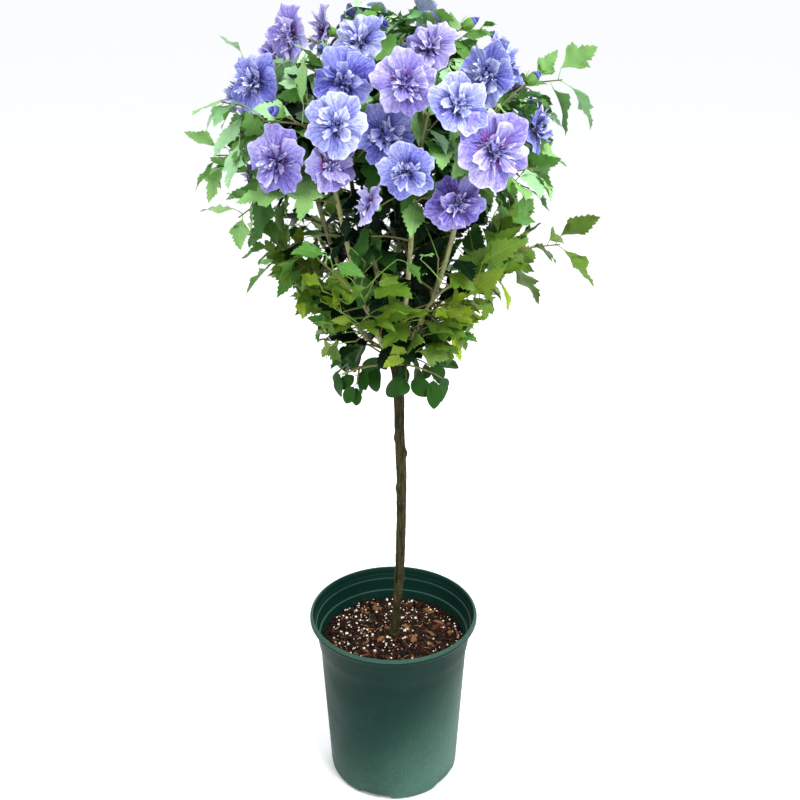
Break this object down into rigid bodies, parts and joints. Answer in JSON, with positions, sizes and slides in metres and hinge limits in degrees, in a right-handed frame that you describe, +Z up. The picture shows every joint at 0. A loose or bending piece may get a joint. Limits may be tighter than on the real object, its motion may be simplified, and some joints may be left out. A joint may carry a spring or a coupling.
{
  "type": "potted hibiscus shrub",
  "caption": "Hibiscus grown as a standard: a bare slim stem under a round open head of toothed lobed leaves and double lilac-blue blooms, in a round lipped nursery pot.",
  "frame": {"origin": "middle of the pot's flat underside", "axes": "+Z up along the pot's axis; -Y is the front, +X the right of somebody looking at the front"},
  "size_m": [0.5652, 0.5332, 1.2713],
  "materials": {
    "pot": "satin dark teal green",
    "potting_mix": "dark crumbly compost with white perlite and bark chips",
    "trunk_bark": "rough olive-brown bark",
    "bough_bark": "light grey-tan bark",
    "foliage": "leaves from mint to dark green, with lilac-blue blooms"
  },
  "bodies": {
    "root": {"pot": "pot", "potting_mix": "potting_mix", "trunk": "trunk_bark", "bough_outer_1": "bough_bark", "bough_outer_2": "bough_bark", "bough_outer_3": "bough_bark", "bough_outer_4": "bough_bark", "bough_outer_5": "bough_bark", "bough_outer_6": "bough_bark", "bough_outer_7": "bough_bark", "bough_inner_1": "bough_bark", "bough_inner_2": "bough_bark", "bough_inner_3": "bough_bark", "bough_lower_1": "bough_bark", "bough_lower_2": "bough_bark", "bough_lower_3": "bough_bark", "bough_lower_4": "bough_bark", "bough_lower_5": "bough_bark", "bough_lower_6": "bough_bark", "foliage_outer_1": "foliage", "foliage_outer_2": "foliage", "foliage_outer_3": "foliage", "foliage_outer_4": "foliage", "foliage_outer_5": "foliage", "foliage_outer_6": "foliage", "foliage_outer_7": "foliage", "foliage_inner_1": "foliage", "foliage_inner_2": "foliage", "foliage_inner_3": "foliage", "foliage_lower_1": "foliage", "foliage_lower_2": "foliage", "foliage_lower_3": "foliage", "foliage_lower_4": "foliage", "foliage_lower_5": "foliage", "foliage_lower_6": "foliage", "foliage_skirt_1": "foliage", "foliage_skirt_2": "foliage", "foliage_skirt_3": "foliage", "foliage_skirt_4": "foliage"}
  },
  "joints": []
}
